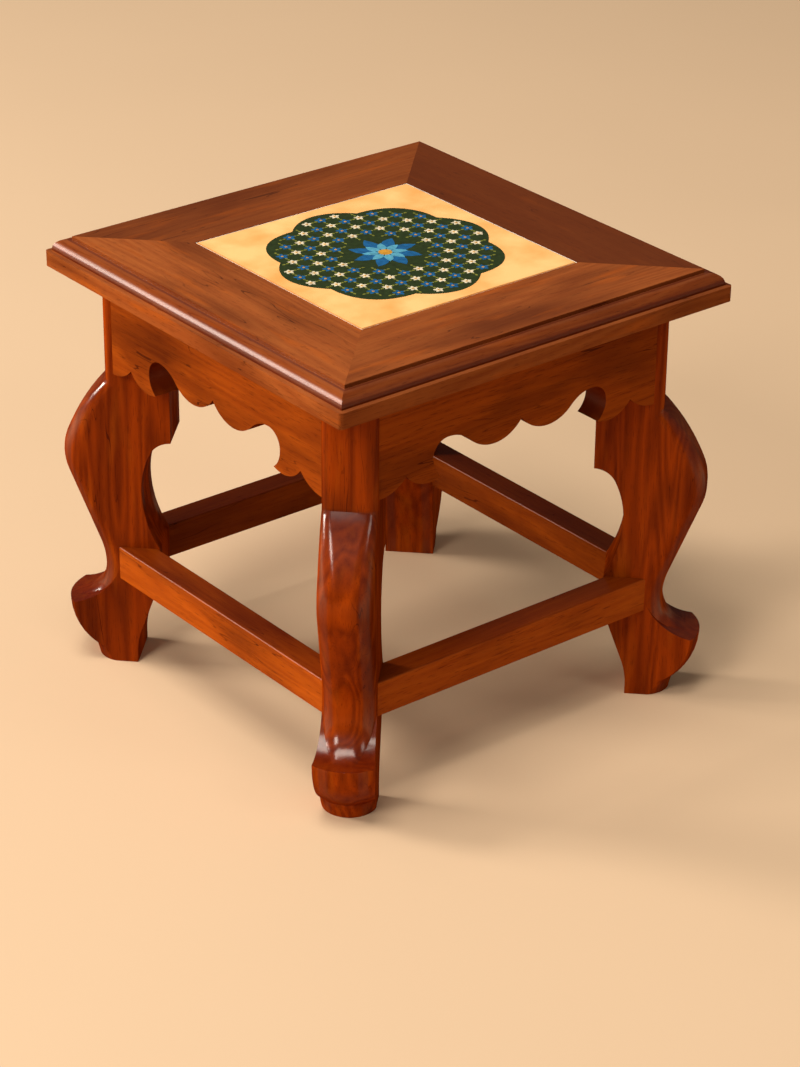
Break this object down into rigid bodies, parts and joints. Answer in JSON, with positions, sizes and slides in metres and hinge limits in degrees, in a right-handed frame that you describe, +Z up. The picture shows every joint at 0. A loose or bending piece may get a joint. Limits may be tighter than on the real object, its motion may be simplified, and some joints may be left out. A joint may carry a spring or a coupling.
{
  "type": "tiled wooden stool",
  "caption": "Low square stool with cabriole legs, scalloped aprons, low stretchers and a glazed tile set flush in a mitred, moulded top frame",
  "frame": {"origin": "on the floor under the middle of the seat", "axes": "+Z up, the front side faces -Y, the right side faces +X"},
  "size_m": [0.3694, 0.3694, 0.348],
  "materials": {
    "stained_hardwood": "glossy lacquer",
    "plain_hardwood": "bare",
    "plywood": "bare",
    "glazed_tile": "glossy glaze",
    "grout": "matte",
    "tile_adhesive": "matte"
  },
  "bodies": {
    "root": {"tile": "glazed_tile", "tile_grout": "grout", "tile_adhesive": "tile_adhesive", "tile_backing_board": "plywood", "top_rail_front": "stained_hardwood", "top_rail_right": "stained_hardwood", "top_rail_back": "stained_hardwood", "top_rail_left": "stained_hardwood", "apron_front": "stained_hardwood", "apron_right": "stained_hardwood", "apron_back": "stained_hardwood", "apron_left": "stained_hardwood", "stretcher_front": "stained_hardwood", "stretcher_right": "stained_hardwood", "stretcher_back": "stained_hardwood", "stretcher_left": "stained_hardwood", "leg_front_left": "stained_hardwood", "leg_front_right": "stained_hardwood", "leg_back_right": "stained_hardwood", "leg_back_left": "stained_hardwood", "mitre_spline_front_left": "plain_hardwood", "mitre_spline_front_right": "plain_hardwood", "mitre_spline_back_right": "plain_hardwood", "mitre_spline_back_left": "plain_hardwood", "glue_block_front": "plain_hardwood", "glue_block_right": "plain_hardwood", "glue_block_back": "plain_hardwood", "glue_block_left": "plain_hardwood"}
  },
  "joints": []
}
